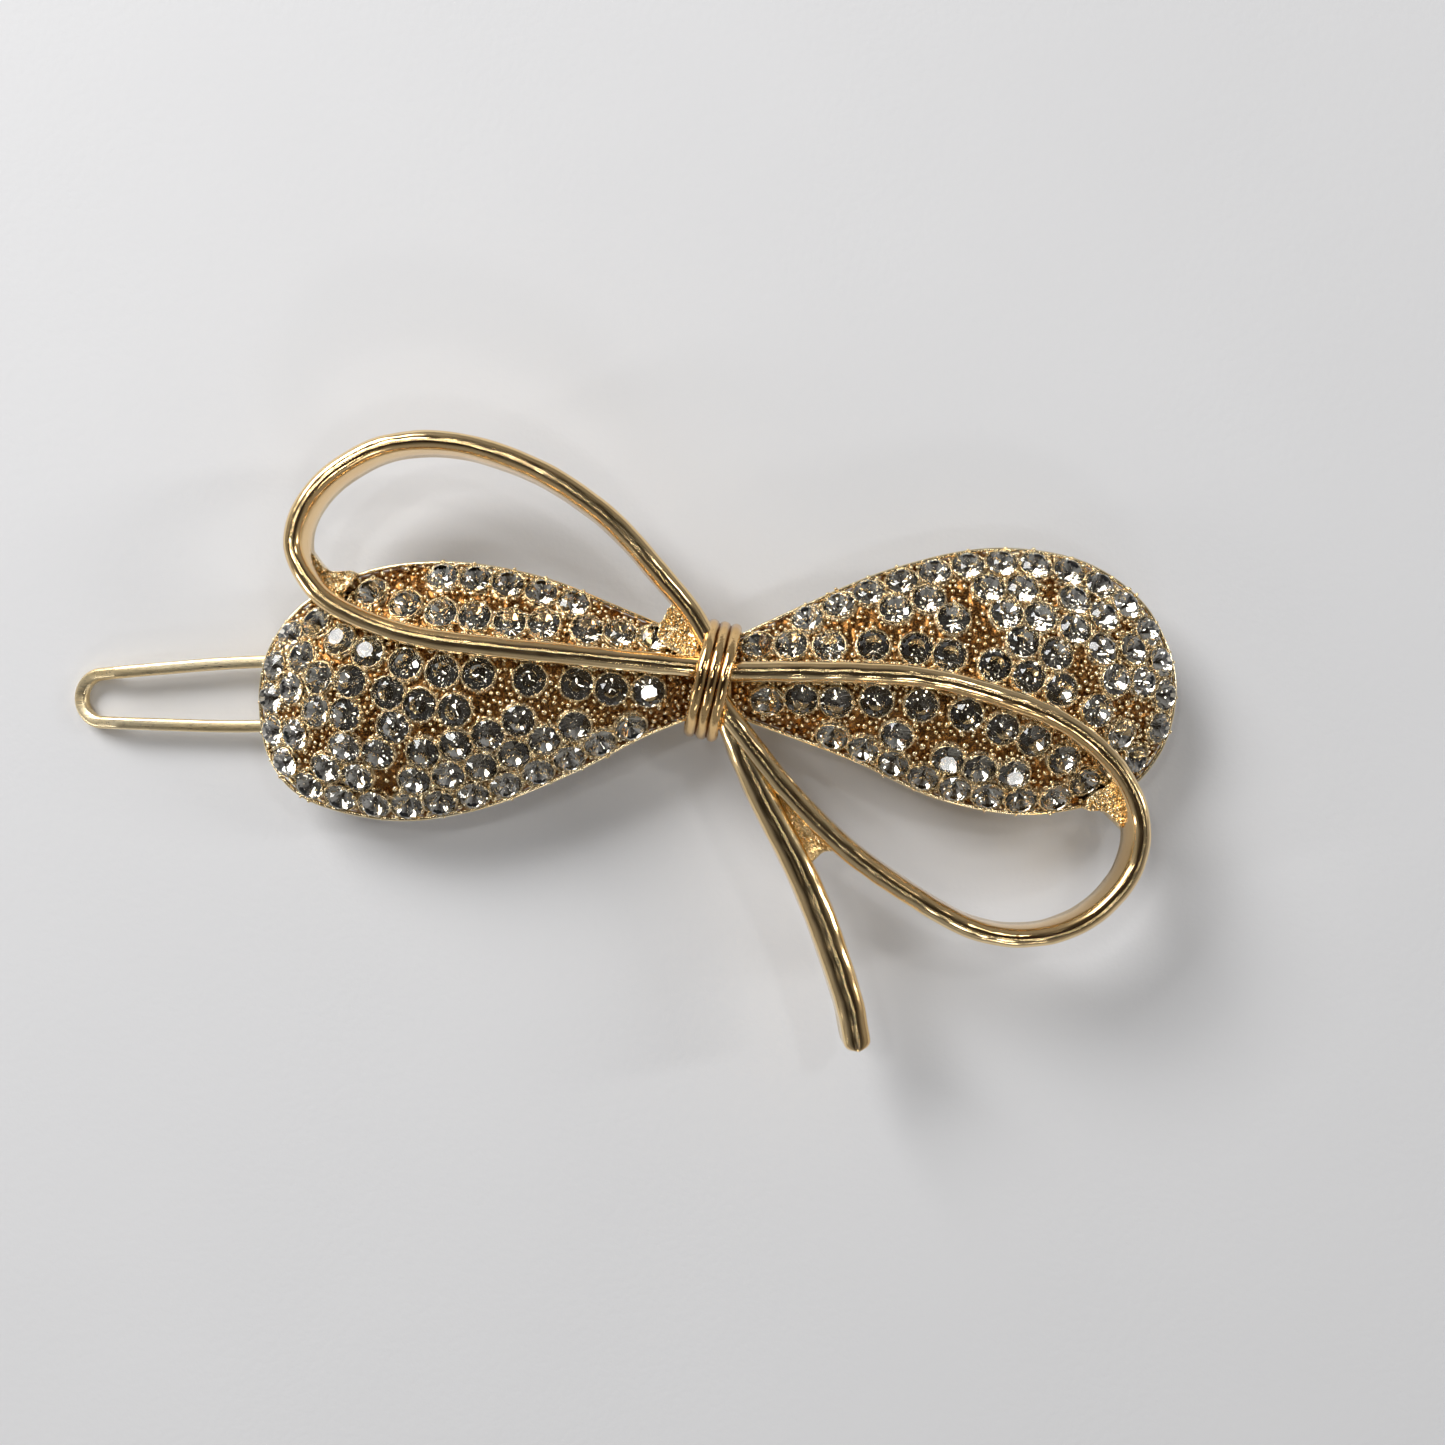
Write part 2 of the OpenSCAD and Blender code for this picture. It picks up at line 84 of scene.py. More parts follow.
LOWER_LOOP = [
    (0.5, 0.5, 5.2, 3.2), (5.2, 0.5, 5.5, 3.8), (10.0, 0.4, 5.8, 4.4), (14.4, 0.0, 5.9, 4.4),
    (19.2, -1.3, 5.8, 4.2), (22.8, -2.8, 5.6, 3.6), (25.8, -5.2, 5.4, 2.2), (27.5, -8.0, 5.3, 1.9),
    (27.8, -10.8, 5.3, 2.2), (26.6, -13.6, 5.3, 2.3), (23.9, -15.9, 5.3, 2.3), (20.4, -16.8, 5.3, 2.3),
    (16.8, -16.2, 5.3, 2.3), (13.0, -14.1, 5.3, 2.3), (8.9, -11.2, 5.3, 2.4), (5.3, -7.7, 5.4, 2.5),
    (2.7, -4.5, 5.5, 2.6), (1.3, -2.6, 5.4, 2.9), (0.3, -1.2, 5.0, 3.0),
]
TAIL = [
    (0.2, -1.0, 4.9, 3.0), (1.0, -2.6, 5.1, 2.8), (2.1, -5.3, 5.2, 2.5), (3.5, -8.2, 5.1, 2.4),
    (5.3, -11.6, 5.0, 2.3), (6.8, -14.9, 4.9, 2.2), (8.0, -18.2, 4.8, 2.1), (9.0, -21.4, 4.8, 2.1),
    (9.5, -24.2, 4.8, 2.1),
]
# Webs between the tail and the lower loop, where each loop leaves its wing, and beside the knot
TAIL_WEB = [
    (1.9, -3.9), (3.0, -4.9), (5.5, -8.0), (8.3, -10.9), (7.2, -11.3), (6.2, -12.2), (5.5, -12.1),
    (3.6, -8.5),
]
UPPER_WEB = [
    (-26.9, 8.9), (-26.0, 7.7), (-25.1, 7.15), (-23.8, 7.2), (-24.6, 5.9), (-26.0, 6.2), (-27.0, 7.6),
]
LOWER_WEB = [
    (27.6, -10.2), (26.7, -9.3), (26.0, -8.7), (24.8, -8.55), (25.2, -7.6), (26.6, -7.2), (27.7, -8.4),
]
KNOT_WEB = [(-3.4, 3.8), (-2.6, 5.0), (-1.8, 4.7), (-1.0, 3.2), (-1.2, 1.6), (-2.6, 1.9), (-3.6, 2.8)]
# One leg of the bail as (x, half the distance between the legs), from the hinge to the tip
BAIL_LEG = [
    (20.9, 1.85), (8, 1.85), (-6, 1.87), (-18, 2.02), (-27, 2.2), (-33, 2.2), (-38, 1.95), (-42.4, 1.68),
]
# Each wing's edge, the root and outer end of its spine, and its side of the knot
WINGS = {
    "left": {"edge": LEFT_EDGE, "root": (-1.2, 0.2), "end": (-23.4, -1.2), "side": -1},
    "right": {"edge": RIGHT_EDGE, "root": (1.2, 0.25), "end": (23.8, -0.7), "side": 1},
}
SPINE_ROOT_Z, SPINE_RISE = 3.5, 1.3
BACK_Z, RIM_DROP, RIM_H, SHELL_T = 0.75, 0.9, 1.0, 1.3
RIBBON_W, TAIL_W = 1.3, 1.9
STONE_R, CROWN_H, PAVILION_H = 1.05, 0.5, 0.85
KNOT_R, KNOT_Z, KNOT_LEAN, KNOT_ARC = 3.6, 2.57, 13, 216
STRAND_R, STRAND_PITCH = 0.42, 0.74
HINGE_X, HINGE_DROP, CLIP_YAW = 20.8, 1.5, 1.5
WIRE_W, WIRE_H, PIN_R, EYE_R, PIN_INNER = 0.86, 0.8, 0.4, 0.46, 0.35
TIP_X, BEND_X, TIP_BEND = -42.4, -41.2, 15
BAR_X, BAR_W, BAR_T, BAR_FROM, BAR_TO = 16, 2.4, 1.1, -7.3, 6.6


def on_curve(points, t):
    """Points at t, from 0 to 1, on the smooth curve through the points."""
    p = np.asarray(points, float)
    s = np.clip(np.atleast_1d(t), 0, 1) * (len(p) - 1)
    i = np.minimum(s.astype(int), len(p) - 2)
    f = (s - i)[:, None]
    a, b, c, d = p[np.maximum(i - 1, 0)], p[i], p[i + 1], p[np.minimum(i + 2, len(p) - 1)]
    return 0.5 * (2*b + (c - a)*f + (2*a - 5*b + 4*c - d)*f**2 + (3*b - a - 3*c + d)*f**3)


def unit(v):
    """A vector, or each row of an array, scaled to length 1."""
    v = np.asarray(v, float)
    return v / np.maximum(np.linalg.norm(v, axis=-1, keepdims=True), 1e-12)


def smooth_outline(outline):
    """Points at equal steps round a closed outline with smooth corners."""
    steps = 96
    return on_curve(outline + outline[:1], np.arange(steps) / steps)


def once_round(count):
    """Angles at equal steps once round a circle."""
    return np.arange(count) * 2 * math.pi / count


def smooth_step(x, low, high):
    """0 below low, 1 above high, and a smooth rise between them."""
    t = np.clip((x - low) / (high - low), 0, 1)
    return t * t * (3 - 2 * t)


class Waves:
    """Smooth random waves in space, about size across: a sum of sines in random directions."""

    def __init__(self, seed, size):
        count = 14
        source = np.random.default_rng(seed)
        self.direction = unit(source.normal(size=(count, 3))) * 2 * math.pi / size
        self.direction *= source.uniform(0.6, 1.6, (count, 1))
        self.phase = source.uniform(0, 2 * math.pi, count)

    def __call__(self, points):
        return np.sin(points @ self.direction.T + self.phase).sum(-1) / math.sqrt(len(self.phase))


# ---- Meshes ----

def mesh_object(name, verts, faces, body, materials, smooth=True, face_material=None):
    """A piece from points in millimetres, which rides on a body."""
    mesh = bpy.data.meshes.new(name)
    mesh.from_pydata((np.asarray(verts, float) * MM).tolist(), [], [list(map(int, f)) for f in faces])
    for material in materials:
        mesh.materials.append(material)
    if face_material is not None:
        mesh.polygons.foreach_set("material_index", np.asarray(face_material, np.int32))
    mesh.polygons.foreach_set("use_smooth", [smooth] * len(mesh.polygons))
    mesh.update()
    piece = bpy.data.objects.new(name, mesh)
    bpy.context.scene.collection.objects.link(piece)
    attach(piece, body)
    return piece


def store(piece, name, values, kind="FLOAT"):
    """Keeps a number or a vector on each point of a piece, for its material to read."""
    kept = piece.data.attributes.new(name, kind, "POINT")
    key = "vector" if kind == "FLOAT_VECTOR" else "value"
    kept.data.foreach_set(key, np.asarray(values, np.float32).ravel())


def weld(mesh, distance):
    """Joins points that lie together, and turns all faces outwards."""
    b = bmesh.new()
    b.from_mesh(mesh)
    bmesh.ops.remove_doubles(b, verts=b.verts, dist=distance)
    bmesh.ops.recalc_face_normals(b, faces=b.faces)
    b.to_mesh(mesh)
    b.free()


def ring_faces(rings, size, close_ends=True, loop=False):
    """Faces of a tube made of rings with size points each. A loop's last ring joins its first."""
    faces = []
    for i in range(rings if loop else rings - 1):
        near, far = i * size, (i + 1) % rings * size
        for k in range(size):
            n = (k + 1) % size
            faces.append((near + k, near + n, far + n, far + k))
    if close_ends and not loop:
        faces.append(tuple(reversed(range(size))))
        faces.append(tuple((rings - 1) * size + k for k in range(size)))
    return faces


def join(parts):
    """One list of points and one of faces from several (points, faces)."""
    verts, faces, count = [], [], 0
    for points, part_faces in parts:
        verts.append(np.asarray(points, float))
        faces += [tuple(count + i for i in f) for f in part_faces]
        count += len(points)
    return np.concatenate(verts), faces


def upright_sweep(centres, sections):
    """Sweeps sections of (sideways, height) along centres that lie in plan."""
    centres = np.asarray(centres, float)
    ahead = np.gradient(centres, axis=0)
    side = unit(np.stack([ahead[:, 1], -ahead[:, 0]], -1))
    sections = np.asarray(sections, float)
    plan = centres[:, None, :] + side[:, None, :] * sections[:, :, :1]
    points = np.concatenate([plan, sections[:, :, 1:]], -1)
    return points.reshape(-1, 3), ring_faces(len(centres), sections.shape[1])


def blobs(centres, radii, seed):
    """Small uneven beads, as one (points, faces)."""
    stretch = 0.25
    b = bmesh.new()
    bmesh.ops.create_icosphere(b, subdivisions=1, radius=1)
    ball = np.array([v.co for v in b.verts])
    ball_faces = np.array([[v.index for v in f.verts] for f in b.faces])
    b.free()
    source = np.random.default_rng(seed)
    scale = 1 + source.uniform(-stretch, stretch, (len(centres), 1, 3))
    turn = source.normal(size=(len(centres), 3, 3))
    turn = np.linalg.qr(turn)[0]
    points = np.einsum("nij,nkj->nki", turn, ball[None] * scale) * np.asarray(radii)[:, None, None]
    points += np.asarray(centres)[:, None, :]
    faces = ball_faces[None] + (np.arange(len(centres)) * len(ball))[:, None, None]
    return points.reshape(-1, 3), [tuple(f) for f in faces.reshape(-1, 3)]


def turned_flat(points, angle):
    """Turns points about the vertical axis, by an angle in degrees."""
    c, s = math.cos(math.radians(angle)), math.sin(math.radians(angle))
    p = np.asarray(points, float)
    return np.stack([p[:, 0] * c - p[:, 1] * s, p[:, 0] * s + p[:, 1] * c, p[:, 2]], -1)


# ---- Materials ----

def new_material(name):
    """A new material, its node tree and its main shader."""
    material = bpy.data.materials.new(name)
    material.use_nodes = True
    tree = material.node_tree
    return material, tree, tree.nodes["Principled BSDF"]


def add_node(tree, kind, inputs=(), **settings):
    """A shader node with its settings. Its inputs are values or other nodes' outputs."""
    node = tree.nodes.new(kind)
    for key, value in settings.items():
        setattr(node, key, value)
    for key, value in dict(inputs).items():
        if isinstance(value, bpy.types.NodeSocket):
            tree.links.new(value, node.inputs[key])
        else:
            node.inputs[key].default_value = value
    return node


def object_coordinates(tree, stretch=(1, 1, 1), turn=0.0):
    """Position on the piece in metres, stretched to draw out a pattern."""
    place = add_node(tree, "ShaderNodeTexCoord").outputs["Object"]
    mapping = add_node(tree, "ShaderNodeMapping", {"Vector": place, "Scale": stretch})
    mapping.inputs["Rotation"].default_value = (0, 0, turn)
    return mapping.outputs["Vector"]


def noise(tree, place, size, detail=3.0):
    """Noise whose features are about size millimetres across."""
    inputs = {"Vector": place, "Scale": 1 / (size * MM), "Detail": detail, "Roughness": 0.55}
    return add_node(tree, "ShaderNodeTexNoise", inputs).outputs["Fac"]


def spread(tree, value, low, high, new_low=0.0, new_high=1.0):
    """Spreads the range from low to high over the one from new_low to new_high, and stays within that."""
    inputs = {"Value": value, "From Min": low, "From Max": high, "To Min": new_low, "To Max": new_high}
    return add_node(tree, "ShaderNodeMapRange", inputs).outputs["Result"]


def mix_colours(tree, factor, a, b):
    node = add_node(tree, "ShaderNodeMix", data_type="RGBA")
    # The node's sockets for colours are 6 and 7, and its result in colour is 2
    for index, value in ((0, factor), (6, a), (7, b)):
        if isinstance(value, bpy.types.NodeSocket):
            tree.links.new(value, node.inputs[index])
        else:
            node.inputs[index].default_value = value
    return node.outputs[2]


def bump(tree, height, depth, below=None):
    """Bump whose full height is depth millimetres."""
    inputs = {"Height": height, "Distance": depth * MM, "Strength": 1.0}
    if below is not None:
        inputs["Normal"] = below
    return add_node(tree, "ShaderNodeBump", inputs).outputs["Normal"]


PALE_GOLD = (0.97, 0.83, 0.56, 1)
GOLD = (0.92, 0.72, 0.40, 1)
DEEP_GOLD = (0.64, 0.37, 0.12, 1)
# BROWN_GOLD is also the colour of the shade painted into recesses
BROWN_GOLD = (0.20, 0.09, 0.025, 1)
WARM_GOLD = (0.95, 0.74, 0.42, 1)
ROSY_GOLD = (0.88, 0.60, 0.28, 1)


def gold_material(name, rough, tones, dents, grain, stretch=(1, 1, 1), turn=0.0, recess=False, course=False):
    """Plated gold.

    rough is its lowest and highest roughness. tones are two that drift into each other and one in specks.
    dents and grain are the (size, depth) of its bumps. recess paints shade into it, darkening it towards
    BROWN_GOLD by the piece's "recess" values, and course lays its pattern along the piece's "course"
    vectors.
    """
    material, tree, shader = new_material(name)
    if course:
        place = add_node(tree, "ShaderNodeAttribute", attribute_name="course").outputs["Vector"]
    else:
        place = object_coordinates(tree, stretch, turn)
    broad = noise(tree, place, 4 * dents[0])
    fine = noise(tree, place, grain[0], detail=5)
    colour = mix_colours(tree, spread(tree, broad, 0.35, 0.65), tones[0], tones[1])
    if recess:
        # Painted shade: darkens the colour towards BROWN_GOLD by the piece's recess values
        painted_shade = add_node(tree, "ShaderNodeAttribute", attribute_name="recess").outputs["Fac"]
        colour = mix_colours(tree, painted_shade, colour, BROWN_GOLD)
    specks = spread(tree, fine, 0.62, 0.74)
    colour = mix_colours(tree, specks, colour, tones[2])
    shader.inputs["Metallic"].default_value = 1.0
    tree.links.new(colour, shader.inputs["Base Color"])
    tree.links.new(spread(tree, fine, 0.3, 0.7, rough[0], rough[1]), shader.inputs["Roughness"])
    relief = bump(tree, noise(tree, place, dents[0]), dents[1])
    tree.links.new(bump(tree, fine, grain[1], relief), shader.inputs["Normal"])
    return material


def crown_material():
    """Clear cut glass, with the faint haze of handling."""
    material, tree, shader = new_material("cut_glass")
    haze = noise(tree, object_coordinates(tree), 0.6)
    tree.links.new(spread(tree, haze, 0.55, 0.8, 0.0, 0.03), shader.inputs["Roughness"])
    tint = mix_colours(tree, haze, (1.0, 1.0, 0.985, 1), (0.97, 0.97, 0.94, 1))
    tree.links.new(tint, shader.inputs["Base Color"])
    shader.inputs["Transmission Weight"].default_value = 1.0
    shader.inputs["IOR"].default_value = 1.56
    return material


def foil_material():
    """Mirror foil behind a stone, a different grey on each stone."""
    material, tree, shader = new_material("mirror_foil")
    tone = add_node(tree, "ShaderNodeAttribute", attribute_name="tone").outputs["Fac"]
    mottle = noise(tree, object_coordinates(tree), 0.35)
    grey = mix_colours(tree, tone, (0.62, 0.59, 0.52, 1), (1.0, 0.975, 0.92, 1))
    colour = mix_colours(tree, spread(tree, mottle, 0.55, 0.75, 0.0, 0.35), grey, (0.62, 0.52, 0.36, 1))
    tree.links.new(colour, shader.inputs["Base Color"])
    tree.links.new(spread(tree, mottle, 0.3, 0.7, 0.01, 0.05), shader.inputs["Roughness"])
    shader.inputs["Metallic"].default_value = 1.0
    return material


BRIGHT_TONES = (PALE_GOLD, GOLD, DEEP_GOLD)
SOLDER_TONES = ((0.72, 0.66, 0.56, 1), (0.6, 0.5, 0.36, 1), DEEP_GOLD)
ALONG_CLIP = math.radians(-CLIP_YAW)

# cast_gold and knot_gold paint shade where their pieces carry recess values
CAST = gold_material("cast_gold", rough=(0.16, 0.34), tones=BRIGHT_TONES,
                     dents=(0.5, 0.05), grain=(0.13, 0.02), recess=True)
GRAIN = gold_material("gold_grain", rough=(0.12, 0.28), tones=BRIGHT_TONES,
                      dents=(0.4, 0.02), grain=(0.1, 0.01))
ROUGH_CAST = gold_material("rough_cast_gold", rough=(0.2, 0.42), tones=(GOLD, DEEP_GOLD, BROWN_GOLD),
                           dents=(0.45, 0.12), grain=(0.12, 0.03))
RIBBON = gold_material("ribbon_gold", rough=(0.08, 0.24), tones=(WARM_GOLD, ROSY_GOLD, DEEP_GOLD),
                       dents=(0.5, 0.02), grain=(0.10, 0.005), course=True)
KNOT = gold_material("knot_gold", rough=(0.06, 0.18), tones=(ROSY_GOLD, DEEP_GOLD, BROWN_GOLD),
                     dents=(1.0, 0.03), grain=(0.12, 0.008), recess=True)
WIRE = gold_material("wire_gold", rough=(0.24, 0.40), tones=BRIGHT_TONES,
                     dents=(0.25, 0.012), grain=(0.05, 0.004), stretch=(0.05, 1, 1), turn=ALONG_CLIP)
STRIP = gold_material("strip_gold", rough=(0.26, 0.42), tones=BRIGHT_TONES,
                      dents=(0.3, 0.008), grain=(0.07, 0.004), stretch=(0.06, 1, 1), turn=ALONG_CLIP)
SOLDER = gold_material("solder", rough=(0.3, 0.5), tones=SOLDER_TONES,
                       dents=(0.5, 0.08), grain=(0.12, 0.02))
GLASS = crown_material()
FOIL = foil_material()


# ---- Stones ----

def stone_sites(node):
    """(centre, axis) of each stone in a CAD node, found from the flat face that is the stone's table."""
    same_plane = 0.9998
    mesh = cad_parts[node].data
    mesh.calc_loop_triangles()
    place = np.array([v.co for v in mesh.vertices]) / MM
    triangles = np.array([t.vertices for t in mesh.loop_triangles])
    known, joined = np.unique(np.round(place, 4), axis=0, return_inverse=True)
    joined = joined.ravel()[triangles]
    # Points that share a triangle belong to one stone
    group = list(range(len(known)))

    def root(i):
        while group[i] != i:
            i = group[i]
        return i

    for a, b, c in joined:
        top = min(root(a), root(b), root(c))
        for i in (a, b, c):
            group[root(i)] = top
    owner = np.array([root(t[0]) for t in joined])
    corners = place[triangles]
    area = np.cross(corners[:, 1] - corners[:, 0], corners[:, 2] - corners[:, 0]) / 2
    size = np.linalg.norm(area, axis=1)
    facing = area / size[:, None]
    sites = []
    for one in np.unique(owner):
        mine = owner == one
        alike = facing[mine] @ facing[mine].T > same_plane
        best = np.argmax(alike @ size[mine])
        table = np.flatnonzero(mine)[alike[best]]
        axis = unit(area[table].sum(0))
        middle = (corners[table].mean(1) * size[table, None]).sum(0) / size[table].sum()
        sites.append((middle - axis * CROWN_H, axis))
    return sites


# Rings of a cut stone as (radius, height over the girdle)
TABLE_RING, STAR_RING = (0.56, CROWN_H), (0.80, 0.34)
GIRDLE_TOP, GIRDLE_FOOT = 0.08, -0.04
LOWER_RING = (0.27, -PAVILION_H + 0.2)


def cut_stone():
    """A brilliant-cut stone as points, faces, and each face's material: 0 for glass and 1 for foil."""
    def ring(count, radius, height, offset):
        angle = (np.arange(count) + offset) * 2 * math.pi / count
        return np.stack([radius * np.cos(angle), radius * np.sin(angle), np.full(count, height)], -1)

    table, star = ring(8, *TABLE_RING, 0), ring(8, *STAR_RING, 0.5)
    upper, lower = ring(16, STONE_R, GIRDLE_TOP, 0), ring(16, STONE_R, GIRDLE_FOOT, 0)
    lower_star = ring(8, *LOWER_RING, 0.5)
    points = np.concatenate([table, star, upper, lower, lower_star, [[0, 0, -PAVILION_H]]])
    # Where the points of the table, star, girdle's two edges, lower star and culet start
    t, s, u, w, p, culet = 0, 8, 16, 32, 48, 56
    clear, foil = [tuple(range(8))], []
    for k in range(8):
        n, before, g = (k + 1) % 8, (k - 1) % 8, 2 * k
        half, after = (g + 1) % 16, (g + 2) % 16
        clear += [(t + k, s + k, t + n), (t + k, s + before, u + g, s + k)]
        clear += [(s + k, u + g, u + half), (s + k, u + half, u + after)]
        clear += [(u + g, w + g, w + half, u + half), (u + half, w + half, w + after, u + after)]
        foil += [(w + g, p + k, w + half), (w + half, p + k, w + after)]
        foil += [(w + g, p + before, culet, p + k)]
    return points, clear + foil, [0] * len(clear) + [1] * len(foil)


def stone_frames(sites, turns):
    """Rotation of each stone, whose table faces along its axis, turned about that by its own angle."""
    frames = []
    for (_, axis), turn in zip(sites, turns):
        across = unit(np.cross(axis, (0.3, 1, 0.1)))
        other = np.cross(axis, across)
        c, s = math.cos(turn), math.sin(turn)
        frames.append(np.stack([across * c + other * s, other * c - across * s, axis], -1))
    return frames


def unturned_frames(sites):
    return stone_frames(sites, [0] * len(sites))


def make_stones(node, sites):
    """The cut stones of one CAD node, each a little tilted, in glass with foil behind."""
    tilt_spread, darkest = 0.035, 0.25
    points, faces, kinds = cut_stone()
    source = np.random.default_rng(len(node) + 7 * len(sites))
    frames = stone_frames(sites, source.uniform(0, math.pi / 4, len(sites)))
    tilt = source.normal(0, tilt_spread, (len(sites), 2))
    tones, parts = [], []
    for (centre, _), turned, lean in zip(sites, frames, tilt):
        lifted = points.copy()
        lifted[:, 2] += points[:, 0] * lean[0] + points[:, 1] * lean[1]
        parts.append((lifted @ turned.T + centre, faces))
        tones += [source.uniform(darkest, 1.0)] * len(points)
    verts, all_faces = join(parts)
    piece = mesh_object(node + "_cut", verts, all_faces, "bow", [GLASS, FOIL],
                        smooth=False, face_material=kinds * len(sites))
    store(piece, "tone", tones)
    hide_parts(node)


# ---- Wings ----
# A place on a wing's skin is told by a, which runs round the edge, and q, from the edge (0) to the spine (1)

def along(a):
    """How far round the edge a is: 0 at the root on either side and 1 at the wing's outer end."""
    return 1 - np.abs(2 * a - 1)


def rim_bottom(a):
    return BACK_Z - RIM_DROP * (1 - np.cos(math.pi * along(a))) / 2


def spine_height(a):
    return SPINE_ROOT_Z + SPINE_RISE * np.sin(math.radians(150) * along(a))


def spine_plan(wing, a):
    root, end = np.array(wing["root"]), np.array(wing["end"])
    return root + (end - root) * np.sin(math.pi / 2 * along(a))[:, None]


def dome(low, high, q):
    """Height at q on a curve that climbs steeply from low and levels out at high."""
    return low + (high - low) * (1 - (1 - q) ** 2)


def outer_skin(wing, a, q):
    """Points on the wing's face."""
    plan = on_curve(wing["edge"], a) * (1 - q)[:, None] + spine_plan(wing, a) * q[:, None]
    return np.column_stack([plan, dome(rim_bottom(a) + RIM_H, spine_height(a), q)])


def inner_skin(wing, a, q):
    """Points on the wall of the wing's hollow."""
    edge, spine = on_curve(wing["edge"], a), spine_plan(wing, a)
    start = edge + unit(spine - edge) * SHELL_T
    plan = start * (1 - q)[:, None] + spine * q[:, None]
    low = rim_bottom(a) + RIM_H - SHELL_T / 2
    return np.column_stack([plan, dome(low, spine_height(a) - SHELL_T, q)])


def skin_normal(wing, a, q):
    """Outward direction of the wing's face."""
    step = 0.002
    du = outer_skin(wing, np.minimum(a + step, 1), q) - outer_skin(wing, np.maximum(a - step, 0), q)
    dv = outer_skin(wing, a, np.minimum(q + step, 1)) - outer_skin(wing, a, np.maximum(q - step, 0))
    n = unit(np.cross(du, dv))
    return n * np.sign(n[:, 2:])


def nearest_stone(points, sites):
    """Distance of each point from its nearest stone's axis, its height over the girdle, and that stone."""
    reach, far = 1.2, 9.0
    centres, axes = np.array([s[0] for s in sites]), np.array([s[1] for s in sites])
    off = points[:, None, :] - centres[None]
    height = (off * axes[None]).sum(-1)
    radial = np.linalg.norm(off - height[..., None] * axes[None], axis=-1)
    radial = np.where(np.abs(height) < reach, radial, far)
    best = radial.argmin(1)
    rows = np.arange(len(points))
    return radial[rows, best], height[rows, best], best, axes


# The cup under a stone: its radius, and the room that it leaves below the stone's cone and point
CUP_R, CONE_ROOM, POINT_ROOM = STONE_R + 0.04, 0.14, 0.08
# The cup's raised lip, and the sunken, uneven ground between the cups
LIP_W, LIP_RISE = 0.10, 0.03
GROUND_STEP, GROUND_DEPTH, GROUND_WAVES = 0.2, 0.22, 0.06


def seat_skin(points, normals, sites, waves):
    """Presses a cup into the skin under each stone and sinks the metal between the cups.

    Also gives how recessed each point is, from 0 to 1, which the casting's material turns into painted
    shade.
    """
    radial, height, best, axes = nearest_stone(points, sites)
    cup = np.clip(radial - STONE_R - CONE_ROOM, -PAVILION_H - POINT_ROOM, 0)
    inside = radial < CUP_R
    lip = LIP_RISE * (1 - smooth_step(radial, CUP_R, CUP_R + LIP_W))
    recess = smooth_step(radial, CUP_R, CUP_R + GROUND_STEP)
    rise = lip - GROUND_DEPTH * recess + GROUND_WAVES * waves(points) * recess
    moved = points + normals * rise[:, None]
    pressed = points + axes[best] * (cup - height)[:, None]
    # The painted shade is full inside a cup, and between the cups it rises with the sunken ground
    return np.where(inside[:, None], pressed, moved), np.where(inside, 1.0, recess)


# Ribs along half of a wing's edge, and points up a rib's face and up its inner skin
RIBS, LEVELS, INNER_LEVELS = 400, 72, 10
RIM_BEAD_R = 0.15


def make_wing(name, wing, sites):
    """The hollow casting: face, plain band round its edge, and inner skin, as a sweep of closed ribs."""
    # The levels lie a little closer together towards the spine
    q = np.linspace(0, 1, LEVELS) ** 0.9
    inner_q = np.linspace(0, 1, INNER_LEVELS)
    # Points up the plain band, as shares of its height
    band = np.array([0.0, 0.12, 0.5, 0.85])
    # hollow_shade is the even painted shade on the wall of the wing's hollow
    hollow_shade, weld_reach = 0.35, 0.002
    ribs, painted_shade = [], []
    waves = Waves(3, 0.9)
    for a_half in np.linspace(0, 0.5, RIBS):
        halves = []
        for a_value in (a_half, 1 - a_half):
            a, ones = np.full(LEVELS, a_value), np.ones(len(band))
            face = outer_skin(wing, a, q)
            face, recess = seat_skin(face, skin_normal(wing, a, np.clip(q, 0.001, 1)), sites, waves)
            foot = face[0].copy()
            bottom = rim_bottom(a_value)
            rim = np.column_stack([ones * foot[0], ones * foot[1], bottom + (foot[2] - bottom) * band])
            inner = inner_skin(wing, np.full(INNER_LEVELS, a_value), inner_q)
            inner_foot = inner[0].copy()
            inner_foot[2] = bottom
            halves.append((np.concatenate([rim, face]), np.concatenate([[inner_foot], inner]),
                           np.concatenate([ones * 0.0, recess])))
        upper, lower = halves
        ribs.append(np.concatenate([upper[0], lower[0][-2::-1], lower[1], upper[1][-2::-1]]))
        # The inner skin gets an even painted shade, and the face's painted shade follows its recess
        hidden = np.full(len(lower[1]) + len(upper[1]) - 1, hollow_shade)
        painted_shade.append(np.concatenate([upper[2], lower[2][-2::-1], hidden]))
    size = len(ribs[0])
    faces = ring_faces(RIBS, size, close_ends=False)
    faces.append(tuple(reversed(range(size))))
    piece = mesh_object(name + "_casting", np.concatenate(ribs), faces, "bow", [CAST])
    store(piece, "recess", np.concatenate(painted_shade))
    weld(piece.data, weld_reach * MM)
    piece.data.polygons.foreach_set("use_smooth", [True] * len(piece.data.polygons))
    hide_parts(name)


def make_rim(name, wing):
    """The smooth bead along the wing's edge."""
    # The bead stops short of the knot at root_x
    rings, size, root_x = 260, 10, 1.3
    a, turn = np.linspace(0, 1, rings), once_round(size)
    circle = RIM_BEAD_R * np.stack([np.cos(turn), np.sin(turn)], -1)
    edge = on_curve(wing["edge"], a)
    edge[:, 0] = np.where(edge[:, 0] * wing["side"] < root_x, root_x * wing["side"], edge[:, 0])
    sections = [circle + (0, z) for z in rim_bottom(a) + RIM_H]
    verts, faces = upright_sweep(edge, sections)
    mesh_object(name + "_rim", verts, faces, "bow", [GRAIN])


